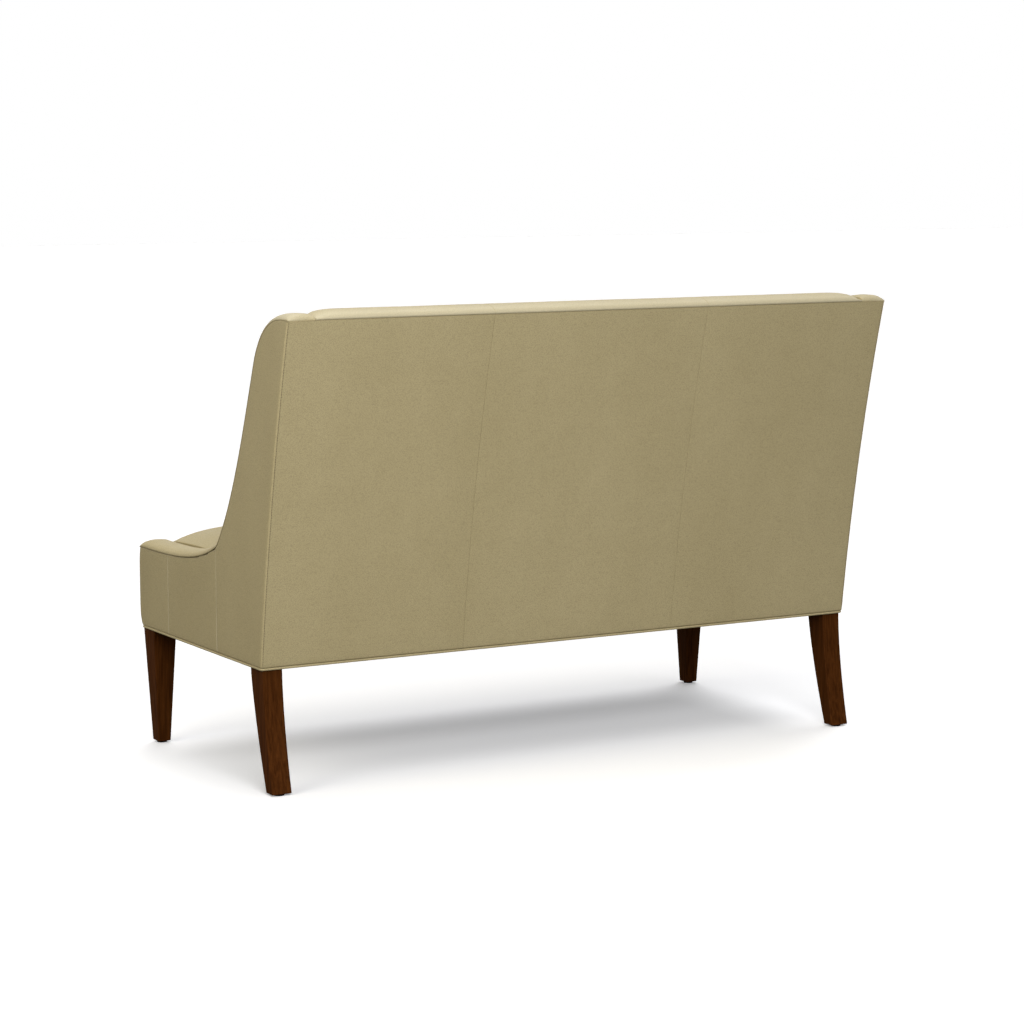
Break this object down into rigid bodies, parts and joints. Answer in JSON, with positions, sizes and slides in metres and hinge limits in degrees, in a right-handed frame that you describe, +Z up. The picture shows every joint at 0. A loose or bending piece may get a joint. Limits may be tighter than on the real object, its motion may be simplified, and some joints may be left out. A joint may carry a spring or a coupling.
{
  "type": "upholstered dining banquette",
  "caption": "Leather-covered dining banquette with a raked hollow back, low sloped arms that rise into wings, a crowned seat, tapered front legs and sabre rear legs.",
  "frame": {"origin": "on the floor, under the middle of the bounding box", "axes": "+X to the sitter's left along the width, -Y the way the sitter faces, +Z up"},
  "size_m": [1.4708, 0.78, 0.9995],
  "materials": {
    "tan_leather": "satin",
    "leg_wood": "satin",
    "frame_wood": "matte",
    "plywood": "matte",
    "foam": "matte",
    "felt": "matte",
    "steel": "satin",
    "black_cloth": "matte",
    "glide_steel": "satin"
  },
  "bodies": {
    "root": {"back_post_left": "leg_wood", "back_post_right": "leg_wood", "back_top_rail": "frame_wood", "back_stay_rail": "frame_wood", "back_stile_left": "frame_wood", "back_stile_right": "frame_wood", "rear_seat_rail": "frame_wood", "front_seat_rail": "frame_wood", "side_seat_rail_left": "frame_wood", "side_seat_rail_right": "frame_wood", "seat_cross_rails": "frame_wood", "front_corner_blocks": "frame_wood", "rear_corner_blocks": "frame_wood", "arm_panel_left": "plywood", "arm_panel_right": "plywood", "frame_dowels": "frame_wood", "corner_block_screws": "steel", "front_leg_left": "leg_wood", "front_leg_right": "leg_wood", "leg_glides": "glide_steel", "seat_springs": "steel", "spring_clips": "steel", "spring_tie_wires": "steel", "seat_deck_cloth": "black_cloth", "back_straps": "black_cloth", "back_liner": "black_cloth", "back_tack_strip": "felt", "seat_foam": "foam", "front_rail_foam": "foam", "inside_back_foam": "foam", "inside_arm_foam_left": "foam", "inside_arm_foam_right": "foam", "arm_top_pad_left": "foam", "arm_top_pad_right": "foam", "arm_front_pad_left": "foam", "arm_front_pad_right": "foam", "side_felt_left": "felt", "side_felt_right": "felt", "back_felt": "felt", "seat_cover": "tan_leather", "inside_back_cover_left": "tan_leather", "inside_back_cover_centre": "tan_leather", "inside_back_cover_right": "tan_leather", "inside_arm_cover_left": "tan_leather", "inside_arm_cover_right": "tan_leather", "outside_back_left": "tan_leather", "outside_back_centre": "tan_leather", "outside_back_right": "tan_leather", "outside_arm_front_left": "tan_leather", "outside_arm_front_right": "tan_leather", "outside_arm_middle_left": "tan_leather", "outside_arm_middle_right": "tan_leather", "outside_wing_left": "tan_leather", "outside_wing_right": "tan_leather", "bottom_welt": "tan_leather", "dust_cover": "black_cloth"}
  },
  "joints": []
}
